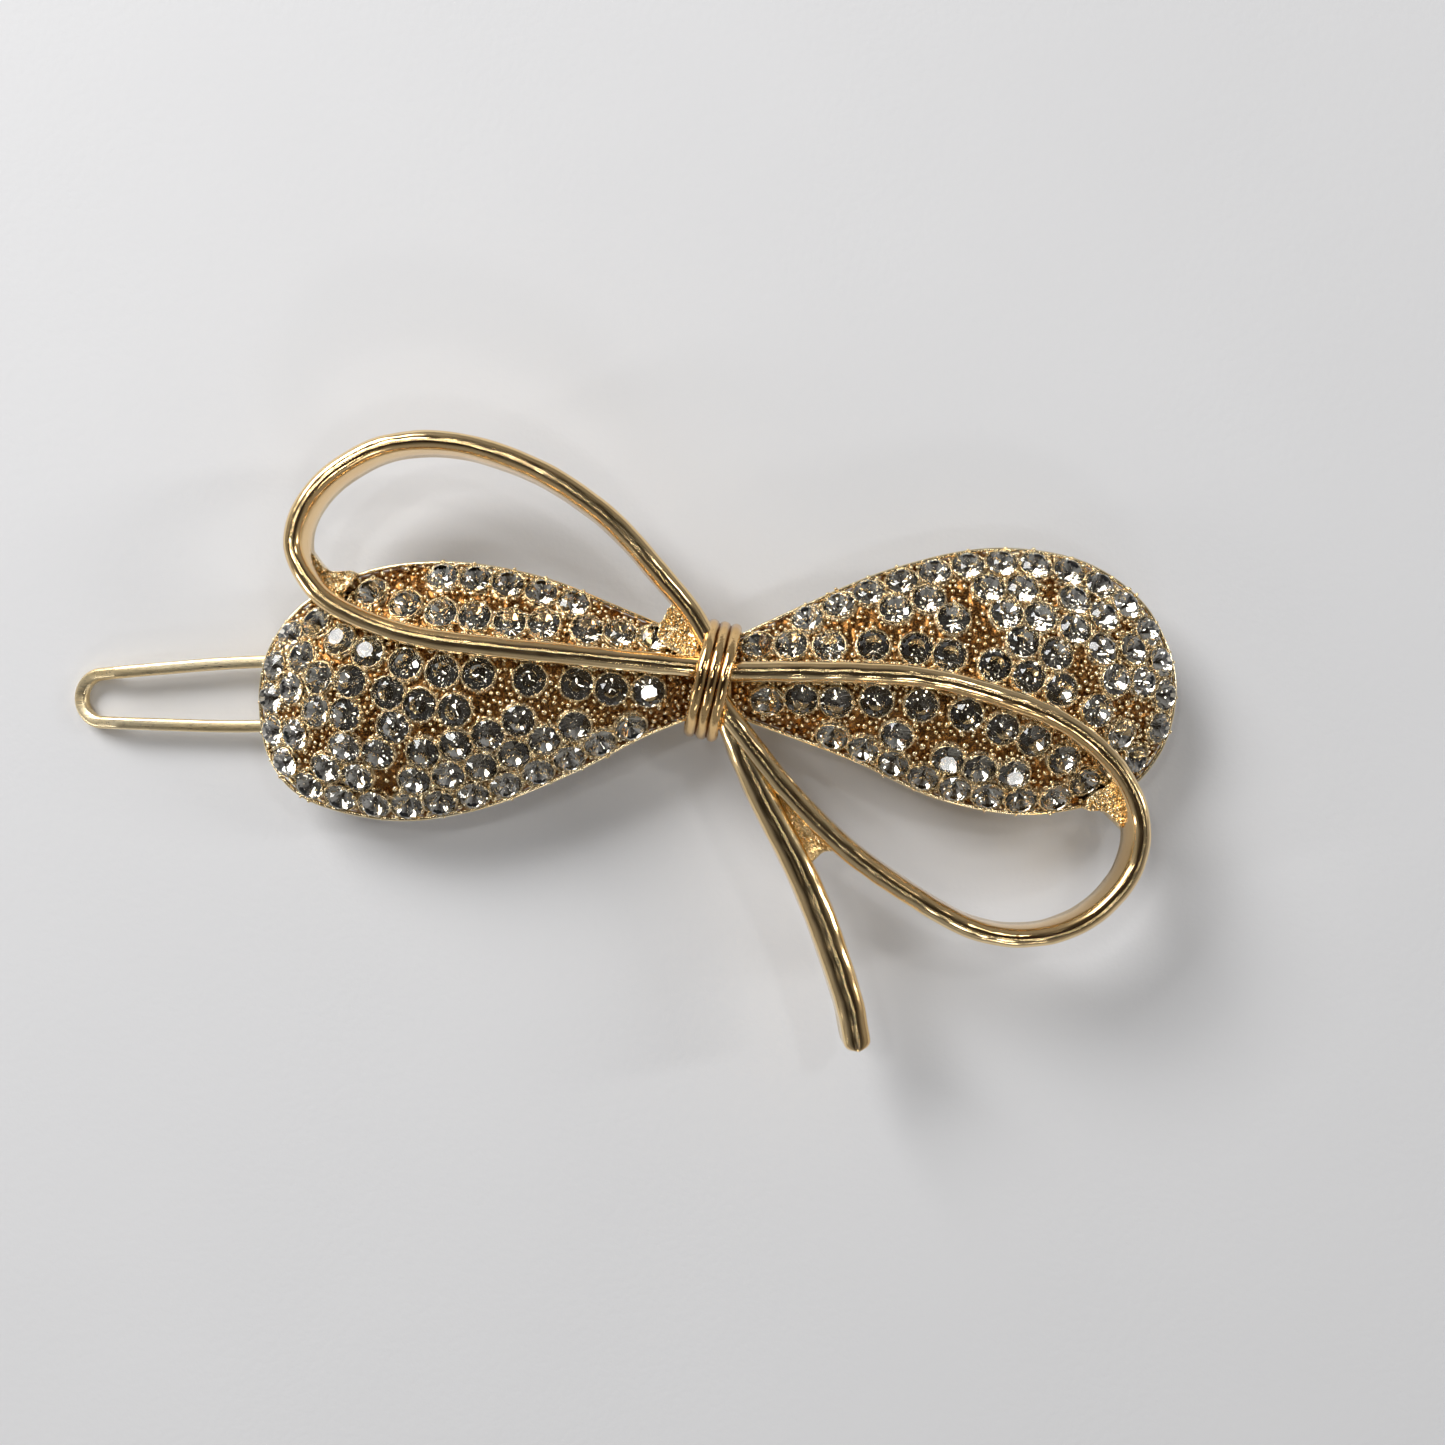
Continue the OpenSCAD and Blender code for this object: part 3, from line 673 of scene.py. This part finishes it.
def make_cups(name, sites):
    """The thin bright ring round each stone, a little out of round and up and down."""
    rings, size = 40, 6
    turn, around = once_round(rings), once_round(size)
    reach, middle = STONE_R + 0.035, 0.03
    half_w, half_h = 0.028, 0.06
    out_of_round, up_and_down = 0.012, 0.03
    parts = []
    for (centre, _), turned in zip(sites, unturned_frames(sites)):
        wobble = out_of_round * np.sin(3 * turn + centre[0] * 5)
        radius = reach + wobble[:, None] + half_w * np.cos(around)[None]
        ripple = up_and_down * np.sin(5 * turn + centre[1])
        height = middle + half_h * np.sin(around)[None] + ripple[:, None]
        points = np.stack([radius * np.cos(turn)[:, None], radius * np.sin(turn)[:, None],
                           np.broadcast_to(height, radius.shape)], -1).reshape(-1, 3)
        parts.append((points @ turned.T + centre, ring_faces(rings, size, loop=True)))
    verts, faces = join(parts)
    mesh_object(name + "_cups", verts, faces, "bow", [GRAIN])


def spaced(points, radii, room):
    """Which beads to keep so that any two are further apart than room times the sum of their radii."""
    cell, kept, grid = 0.5, [], {}
    for i, p in enumerate(points):
        key = tuple((p // cell).astype(int))
        near = [j for dx in (-1, 0, 1) for dy in (-1, 0, 1) for dz in (-1, 0, 1)
                for j in grid.get((key[0] + dx, key[1] + dy, key[2] + dz), ())]
        if all(np.linalg.norm(points[j] - p) > room * (radii[i] + radii[j]) for j in near):
            kept.append(i)
            grid.setdefault(key, []).append(i)
    return kept


# Beads between the stones, as ranges: their radius, and how far they stand out of the skin
BEAD_R, BEAD_RISE = (0.11, 0.24), (-0.12, 0.06)
# Prongs round a stone: their radius, their distance from its girdle, and their height over the girdle
PRONG_R, PRONG_REACH, PRONG_RISE = (0.11, 0.19), (0.04, 0.14), (0.12, 0.22)
PRONG_COUNTS, PRONG_DRIFT = (5, 6, 7, 8), 0.2
# Radii of the burrs beside the ribbons and of the lumps on the webs
BURR_R, LUMP_R = (0.07, 0.17), (0.08, 0.20)


def ground_beads(wing, sites):
    """Places and radii of the beads between the stones, which may reach a little under a stone's cup."""
    source = np.random.default_rng(29 + wing["side"])
    tries, room, cup_gap, clear_share = 9000, 1.12, 0.05, 0.7
    a, q = source.uniform(0.004, 0.996, tries), source.uniform(0, 1, tries) ** 1.3
    points, normals = outer_skin(wing, a, q), skin_normal(wing, a, np.clip(q, 0.001, 1))
    radii = source.uniform(*BEAD_R, tries)
    radial = nearest_stone(points, sites)[0]
    from_edge = np.linalg.norm(points - outer_skin(wing, a, np.zeros(tries)), axis=1)
    open_ground = (radial > STONE_R + cup_gap + radii * clear_share) & (from_edge > RIM_BEAD_R + radii)
    points, normals, radii = points[open_ground], normals[open_ground], radii[open_ground]
    points = points + normals * source.uniform(*BEAD_RISE, len(points))[:, None]
    kept = spaced(points, radii, room)
    return list(points[kept]), list(radii[kept])


def make_grains(name, wing, sites):
    """Beads of metal between the stones, and the small prongs that hold each stone."""
    centres, sizes = ground_beads(wing, sites)
    for (centre, _), turned in zip(sites, unturned_frames(sites)):
        count = RANDOM.choice(PRONG_COUNTS)
        start = RANDOM.uniform(0, 6)
        for k in range(count):
            turn = start + (k + RANDOM.uniform(-PRONG_DRIFT, PRONG_DRIFT)) * 2 * math.pi / count
            reach = STONE_R + RANDOM.uniform(*PRONG_REACH)
            local = np.array([reach * math.cos(turn), reach * math.sin(turn), RANDOM.uniform(*PRONG_RISE)])
            centres.append(turned @ local + centre)
            sizes.append(RANDOM.uniform(*PRONG_R))
    verts, faces = blobs(np.array(centres), sizes, 5)
    mesh_object(name + "_grains", verts, faces, "bow", [GRAIN])


# ---- Ribbons, knot and webs ----

def ribbon_section(width, top, foot):
    """Half-round band on upright walls that spread a little towards the foot."""
    w = width / 2
    # Half of the round, as (share of half the width, height above the top)
    right = [(0.0, 0.0), (0.2, -0.004), (0.36, -0.018), (0.50, -0.050), (0.62, -0.100), (0.73, -0.160),
             (0.83, -0.230), (0.91, -0.310), (0.97, -0.40), (1.0, -0.5)]
    shape = [(x * w, top + z) for x, z in right]
    shape += [(w * 1.04, top * 0.45 + foot * 0.55), (w * 1.10, foot + 0.12), (w * 1.02, foot)]
    left = [(-x, z) for x, z in reversed(shape[1:])]
    return shape + left


# How much longer than wide the streaks on a ribbon are
STREAK = 14


def run_along(points):
    """Distance of each point from the first, measured along the points."""
    return np.concatenate([[0], np.cumsum(np.linalg.norm(np.diff(points, axis=0), axis=1))])


def make_ribbon(name, path, widths, rings, seed):
    """A band swept along its path, a little uneven, that carries the run of its streaks."""
    sway_up, sway_aside, roughness = 0.012, 0.014, 0.003
    t = np.linspace(0, 1, rings)
    course = on_curve(path, t)
    sections = [ribbon_section(w, c[2], c[3]) for w, c in zip(widths(t), course)]
    points, faces = upright_sweep(course[:, :2], sections)
    sway = Waves(seed, 2.6)
    rough = Waves(seed + 1, 0.7)
    points[:, 2] += sway_up * sway(points) + roughness * rough(points)
    # The same waves, read elsewhere, serve both directions in plan
    points[:, :2] += sway_aside * np.stack([sway(points + 9), sway(points + 19)], -1)
    piece = mesh_object(name + "_band", points, faces, "bow", [RIBBON])
    flow = np.zeros((rings, len(sections[0]), 3))
    flow[:, :, 0] = run_along(course[:, :2])[:, None] / STREAK
    flow[:, :, 1] = run_along(np.array(sections[0]))[None]
    flow[:, :, 2] = seed
    store(piece, "course", flow * MM, kind="FLOAT_VECTOR")
    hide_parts(name)


def loop_width(t):
    """Width that varies slowly along a loop."""
    share, pace = 0.06, 9
    return RIBBON_W * (1 + share * np.sin(pace * t))


def tail_width(t):
    """Width that swells along the tail and rounds off at its end."""
    end_start, end_length, narrowest = 0.965, 0.036, 0.02
    rounded = np.sqrt(np.clip(1 - ((t - end_start) / end_length).clip(0, 1) ** 2, narrowest, 1))
    return (RIBBON_W + (TAIL_W - RIBBON_W) * np.sin(math.radians(135) * t)) * rounded


class Outline:
    """A closed outline in plan, for asking what lies inside it."""

    def __init__(self, points):
        self.points = np.asarray(points, float)

    def inside(self, x, y):
        p, n = self.points, np.roll(self.points, -1, axis=0)
        crosses = (p[:, 1] > y) != (n[:, 1] > y)
        with np.errstate(divide="ignore", invalid="ignore"):
            at = p[:, 0] + (y - p[:, 1]) * (n[:, 0] - p[:, 0]) / (n[:, 1] - p[:, 1])
        return int((crosses & (x < at)).sum()) % 2 == 1


def make_burrs(name, path, wing, seed):
    """Casting burrs where a ribbon's foot runs into the stones."""
    tries, room, climb, reach, step = 1500, 0.8, 0.7, 0.12, 0.003
    source = np.random.default_rng(seed)
    t = source.uniform(0.02, 0.98, tries)
    course = on_curve(path, t)
    ahead = on_curve(path, np.clip(t + step, 0, 1)) - on_curve(path, np.clip(t - step, 0, 1))
    side = unit(np.stack([ahead[:, 1], -ahead[:, 0]], -1))
    across = source.choice([-1, 1], tries) * (RIBBON_W / 2 + source.uniform(0.0, reach, tries))
    height = course[:, 3] + climb * source.uniform(0.0, 1.0, tries) ** 2
    points = np.column_stack([course[:, :2] + side * across[:, None], height])
    points = points[[wing["outline"].inside(x, y) for x, y, _ in points]]
    radii = source.uniform(*BURR_R, len(points))
    kept = spaced(points, radii, room)
    verts, faces = blobs(points[kept], radii[kept], seed)
    mesh_object(name + "_burrs", verts, faces, "bow", [GRAIN])


def strand_points(k, rings, size, waves):
    """Points of the strand k places beside the middle one, square to the bow, with tapered ends."""
    end_rings, thinnest, flatness, unevenness = 3, 0.04, 0.96, 0.02
    turn = np.radians(np.linspace(90 - KNOT_ARC / 2, 90 + KNOT_ARC / 2, rings))[:, None]
    around = once_round(size)
    from_end = np.minimum(np.arange(rings), np.arange(rings)[::-1]) / end_rings
    taper = np.sqrt(np.clip(1 - (1 - np.clip(from_end, 0, 1)) ** 2, thinnest, 1))
    radius = STRAND_R * taper[:, None] * np.ones(size)
    out = KNOT_R + radius * np.cos(around) * flatness
    x = k * STRAND_PITCH + radius * np.sin(around)
    points = np.stack([x, out * np.cos(turn), KNOT_Z + out * np.sin(turn)], -1).reshape(-1, 3)
    return points + unevenness * np.stack([waves(points), waves(points + 5), waves(points + 11)], -1)


def make_knot():
    """Three strands side by side over the knot, leaning a little, with shade painted where they touch."""
    rings, size, darkness = 72, 18, 0.9
    parts, painted_shade = [], []
    waves = Waves(17, 1.6)
    aside = np.sin(once_round(size))
    for k in (-1, 0, 1):
        parts.append((strand_points(k, rings, size, waves), ring_faces(rings, size)))
        # Painted shade on the side of each strand that faces its neighbour
        towards_next = np.where(k * aside > 0, 0, np.abs(aside))
        painted_shade.append(np.tile(darkness * smooth_step(towards_next, 0.45, 0.8), rings))
    verts, faces = join(parts)
    piece = mesh_object("knot_band_strands", turned_flat(verts, -KNOT_LEAN), faces, "bow",
                        [KNOT])
    store(piece, "recess", np.concatenate(painted_shade))
    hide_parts("knot_band")


def make_hub():
    """The block under the knot, left rough from the mould."""
    rings, arch_steps, end_shrink, lump_depth = 24, 40, 0.05, 0.05
    low, high = (np.array(c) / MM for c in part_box("knot_hub"))
    half = (high[1] - low[1]) / 2
    middle = (high[1] + low[1]) / 2
    wall = high[2] - half
    arch = [(half * math.cos(t), wall + half * math.sin(t)) for t in np.linspace(0, math.pi, arch_steps)]
    section = np.array([(half, low[2])] + arch + [(-half, low[2])])
    shrink = 1 - end_shrink * np.abs(np.linspace(-1, 1, rings)) ** 6
    parts = []
    for x, share in zip(np.linspace(low[0], high[0], rings), shrink):
        y = middle + section[:, 0] * share
        parts.append(np.column_stack([np.full(len(section), x), y, section[:, 1]]))
    points = np.concatenate(parts)
    above_foot = smooth_step(points[:, 2], low[2] + 0.3, low[2] + 0.8)
    points[:, 2] += lump_depth * Waves(23, 0.8)(points) * above_foot
    faces = ring_faces(rings, len(section))
    piece = mesh_object("knot_hub_block", points, faces, "bow", [ROUGH_CAST])
    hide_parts("knot_hub")


def make_web(name, outline, bottom, top, sink, material):
    """A web of rough metal that joins neighbouring pieces, sunken by sink in the middle."""
    slope, lump_depth = 0.4, 0.06
    rim = smooth_outline(outline)
    middle = rim.mean(0)
    lumps = Waves(len(name), 0.6)
    rings = [np.column_stack([rim, np.full(len(rim), bottom)])]
    for share in (1, 0.96, 0.85, 0.7, 0.55, 0.4, 0.25, 0.12, 0.03):
        plan = middle + (rim - middle) * share
        ring = np.column_stack([plan, np.full(len(rim), top - sink * smooth_step(1 - share, 0, slope))])
        ring[:, 2] += lump_depth * lumps(ring) * (share < 1)
        rings.append(ring)
    faces = ring_faces(len(rings), len(rim))
    mesh_object(name, np.concatenate(rings), faces, "bow", [material])


# Height of the lumps strewn over each web
LUMP_TOPS = ((UPPER_WEB, 2.85), (LOWER_WEB, 2.75), (KNOT_WEB, 3.65), (TAIL_WEB, 3.85))


def make_lumps():
    """Beads of casting metal strewn over the webs."""
    tries, room = 500, 0.8
    source = np.random.default_rng(101)
    centres = []
    for outline, top in LUMP_TOPS:
        shape = Outline(smooth_outline(outline))
        low, high = shape.points.min(0), shape.points.max(0)
        for x, y in source.uniform(low, high, (tries, 2)):
            if shape.inside(x, y):
                centres.append((x, y, top + source.uniform(-0.12, 0.10)))
    centres = np.array(centres)
    radii = source.uniform(*LUMP_R, len(centres))
    kept = spaced(centres, radii, room)
    verts, faces = blobs(centres[kept], radii[kept], 103)
    mesh_object("casting_lumps", verts, faces, "bow", [GRAIN])


# ---- Clip ----

def rounded_section(width, height, corner):
    """Closed section with round corners."""
    steps = 4
    points = []
    for sx, sy, start in ((1, 1, 0), (-1, 1, 90), (-1, -1, 180), (1, -1, 270)):
        for step in range(steps + 1):
            turn = math.radians(start + 90 * step / steps)
            points.append((sx * (width / 2 - corner) + corner * math.cos(turn),
                           sy * (height / 2 - corner) + corner * math.sin(turn)))
    return np.array(points)


def turned_pin(start, direction, length, radius):
    """Round pin with softened ends."""
    # Rings as (distance along the pin, share of its radius)
    steps = [(0, 0.6), (0.05, 0.92), (0.12, 1), (length - 0.12, 1), (length - 0.05, 0.92), (length, 0.6)]
    size = 28
    turn = once_round(size)
    axis = unit(direction)
    across = unit(np.cross(axis, (0, 0.2, 1)))
    other = np.cross(axis, across)
    points = [np.asarray(start) + axis * h + radius * r * (math.cos(t) * across + math.sin(t) * other)
              for h, r in steps for t in turn]
    return np.array(points), ring_faces(len(steps), size)


def make_bail():
    """The bent wire with an eye and a pin at the end of each leg."""
    leg_rings, tip_rings, corner, eye_spare = 160, 50, 0.24, 0.03
    leg = on_curve(BAIL_LEG, np.linspace(0, 1, leg_rings))
    tip_r = BAIL_LEG[-1][1]
    turn = np.linspace(0, math.pi, tip_rings)[1:-1]
    tip = np.column_stack([TIP_X - tip_r * np.sin(turn), -tip_r * np.cos(turn)])
    plan = np.concatenate([leg * (1, -1), tip, leg[::-1]])
    drop = np.where(plan[:, 0] < BEND_X, (plan[:, 0] - BEND_X) * math.tan(math.radians(TIP_BEND)), 0)
    section = rounded_section(WIRE_W, WIRE_H, corner)
    sections = [section + (0, z) for z in drop - HINGE_DROP]
    parts = [upright_sweep(plan, sections)]
    leg_y = BAIL_LEG[0][1]
    for side in (-1, 1):
        eye_start = (HINGE_X, side * (leg_y - WIRE_W / 2 - eye_spare), -HINGE_DROP)
        parts.append(turned_pin(eye_start, (0, side, 0), WIRE_W + 2 * eye_spare, EYE_R))
        pin_start = (HINGE_X, side * PIN_INNER, -HINGE_DROP)
        parts.append(turned_pin(pin_start, (0, side, 0), leg_y - PIN_INNER, PIN_R))
    verts, faces = join(parts)
    piece = mesh_object("bail_wire", turned_flat(verts, CLIP_YAW), faces, "bail", [WIRE])
    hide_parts("wire_bail")


def make_back_bar(name, wing):
    """The bar across the wing's hollow back, which the strip is soldered to. It thins towards its ends."""
    rings, corner, end_share, lump_depth = 30, 0.15, 0.3, 0.03
    section = rounded_section(BAR_W, BAR_T, corner) + (wing["side"] * BAR_X, BACK_Z + BAR_T / 2)
    parts = []
    for y in np.linspace(BAR_FROM, BAR_TO, rings):
        parts.append(np.column_stack([section[:, 0], np.full(len(section), y), section[:, 1]]))
    points = np.concatenate(parts)
    from_end = np.minimum(points[:, 1] - BAR_FROM, BAR_TO - points[:, 1])
    swell = end_share + (1 - end_share) * smooth_step(from_end, 0.4, 2.6)
    points[:, 2] = BACK_Z + (points[:, 2] - BACK_Z) * swell
    above_foot = smooth_step(points[:, 2], BACK_Z + 0.2, BACK_Z + 0.8)
    points[:, 2] += lump_depth * Waves(41, 2.0)(points) * above_foot
    mesh_object(name + "_bar", points, ring_faces(rings, len(section)), "bow", [ROUGH_CAST])


def finish_cad_node(node, material):
    """Gives its finish to a CAD node that keeps its shape."""
    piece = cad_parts[node]
    piece.data.materials.clear()
    piece.data.materials.append(material)


# ---- Stage ----

def make_floor(height):
    """A wide pale sheet at the given height, in metres."""
    half = 1.5
    material, tree, shader = new_material("pale_floor")
    place = object_coordinates(tree)
    fibre = noise(tree, place, 0.5, detail=6)
    cloud = noise(tree, place, 30)
    colour = mix_colours(tree, cloud, (0.72, 0.725, 0.74, 1), (0.76, 0.765, 0.78, 1))
    tree.links.new(colour, shader.inputs["Base Color"])
    tree.links.new(bump(tree, fibre, 0.02), shader.inputs["Normal"])
    shader.inputs["Roughness"].default_value = 0.8
    shader.inputs["Specular IOR Level"].default_value = 0.2
    corners = [(x * half, y * half, height) for x, y in ((-1, -1), (1, -1), (1, 1), (-1, 1))]
    mesh = bpy.data.meshes.new("floor")
    mesh.from_pydata(corners, [], [(0, 1, 2, 3)])
    mesh.materials.append(material)
    floor = bpy.data.objects.new("floor", mesh)
    bpy.context.scene.collection.objects.link(floor)


# Colours of the daylight from the window and of the lamps
DAYLIGHT, LAMPLIGHT = (1.0, 0.99, 0.98), (1.0, 0.99, 0.97)
# Small lamps high overhead, whose light the stones throw back
SPARKLES = [(-0.11, 0.08, 0.37), (0.13, 0.13, 0.35), (0.05, -0.17, 0.36)]
# The room's light at the sides and overhead
ROOM_SIDES, ROOM_OVERHEAD = (0.25, 0.25, 0.257, 1), (0.018, 0.014, 0.010, 1)


def add_light(name, place, size, power, colour):
    """A rectangular lamp that faces the origin. Places and sizes are in metres and the power in watts."""
    light = bpy.data.lights.new(name, "AREA")
    light.shape = "RECTANGLE"
    light.size, light.size_y = size
    light.energy = power
    light.color = colour
    lamp = bpy.data.objects.new(name, light)
    lamp.location = place
    lamp.rotation_euler = (-Vector(place)).to_track_quat("-Z", "Y").to_euler()
    bpy.context.scene.collection.objects.link(lamp)


def make_lights():
    """A soft window at the upper left, weak fills, and a room that is darker overhead."""
    add_light("window", (-0.24, 0.26, 0.24), (0.24, 0.18), 1.7, DAYLIGHT)
    add_light("fill", (0.34, 0.05, 0.16), (0.03, 0.10), 0.24, LAMPLIGHT)
    add_light("low_left", (-0.36, -0.12, 0.14), (0.03, 0.10), 0.14, LAMPLIGHT)
    add_light("front", (0.06, -0.34, 0.20), (0.10, 0.03), 0.10, LAMPLIGHT)
    for index, place in enumerate(SPARKLES):
        add_light("sparkle_%d" % index, place, (0.03, 0.03), 0.09, LAMPLIGHT)
    world = bpy.data.worlds.new("room")
    bpy.context.scene.world = world
    world.use_nodes = True
    tree = world.node_tree
    direction = add_node(tree, "ShaderNodeTexCoord").outputs["Generated"]
    up = add_node(tree, "ShaderNodeSeparateXYZ", {"Vector": direction}).outputs["Z"]
    colour = mix_colours(tree, spread(tree, up, 0.55, 0.92), ROOM_SIDES, ROOM_OVERHEAD)
    tree.links.new(colour, tree.nodes["Background"].inputs["Color"])


def make_camera():
    """Looks straight down from about 10 cm above the clip."""
    place = (0.64, -2.80, 98.9)
    camera = bpy.data.cameras.new("camera")
    camera.lens, camera.sensor_width = 36.1, 36
    camera.clip_start, camera.clip_end = 0.005, 10
    view = bpy.data.objects.new("camera", camera)
    view.location = [c * MM for c in place]
    bpy.context.scene.collection.objects.link(view)
    bpy.context.scene.camera = view


# ---- The object ----

for side, wing in WINGS.items():
    wing["outline"] = Outline(on_curve(wing["edge"], np.linspace(0, 1, 200)))
    nodes = [n for n in sorted(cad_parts) if n.startswith(side) and "_stones_" in n]
    sites = {n: stone_sites(n) for n in nodes}
    every_site = [s for n in nodes for s in sites[n]]
    for node in nodes:
        make_stones(node, sites[node])
    make_wing(side + "_wing", wing, every_site)
    make_rim(side + "_wing", wing)
    make_cups(side + "_wing", every_site)
    make_grains(side + "_wing", wing, every_site)
    make_back_bar(side + "_wing", wing)

make_ribbon("upper_ribbon_loop", UPPER_LOOP, loop_width, rings=300, seed=51)
make_ribbon("lower_ribbon_loop", LOWER_LOOP, loop_width, rings=300, seed=61)
make_ribbon("ribbon_tail", TAIL, tail_width, rings=150, seed=71)
make_burrs("upper_ribbon_loop", UPPER_LOOP, WINGS["left"], seed=81)
make_burrs("lower_ribbon_loop", LOWER_LOOP, WINGS["right"], seed=91)
make_knot()
make_hub()
make_web("tail_web", TAIL_WEB, bottom=2.6, top=4.1, sink=0.35, material=ROUGH_CAST)
make_web("upper_loop_web", UPPER_WEB, bottom=1.5, top=2.9, sink=0.2, material=CAST)
make_web("lower_loop_web", LOWER_WEB, bottom=1.2, top=2.8, sink=0.2, material=CAST)
make_web("knot_web", KNOT_WEB, bottom=1.5, top=3.7, sink=0.2, material=CAST)
make_lumps()
make_bail()
finish_cad_node("clip_strip", STRIP)
finish_cad_node("solder_pads", SOLDER)

make_floor(cad_box[0].z)
make_lights()
make_camera()
bpy.context.scene.view_settings.view_transform = "Standard"
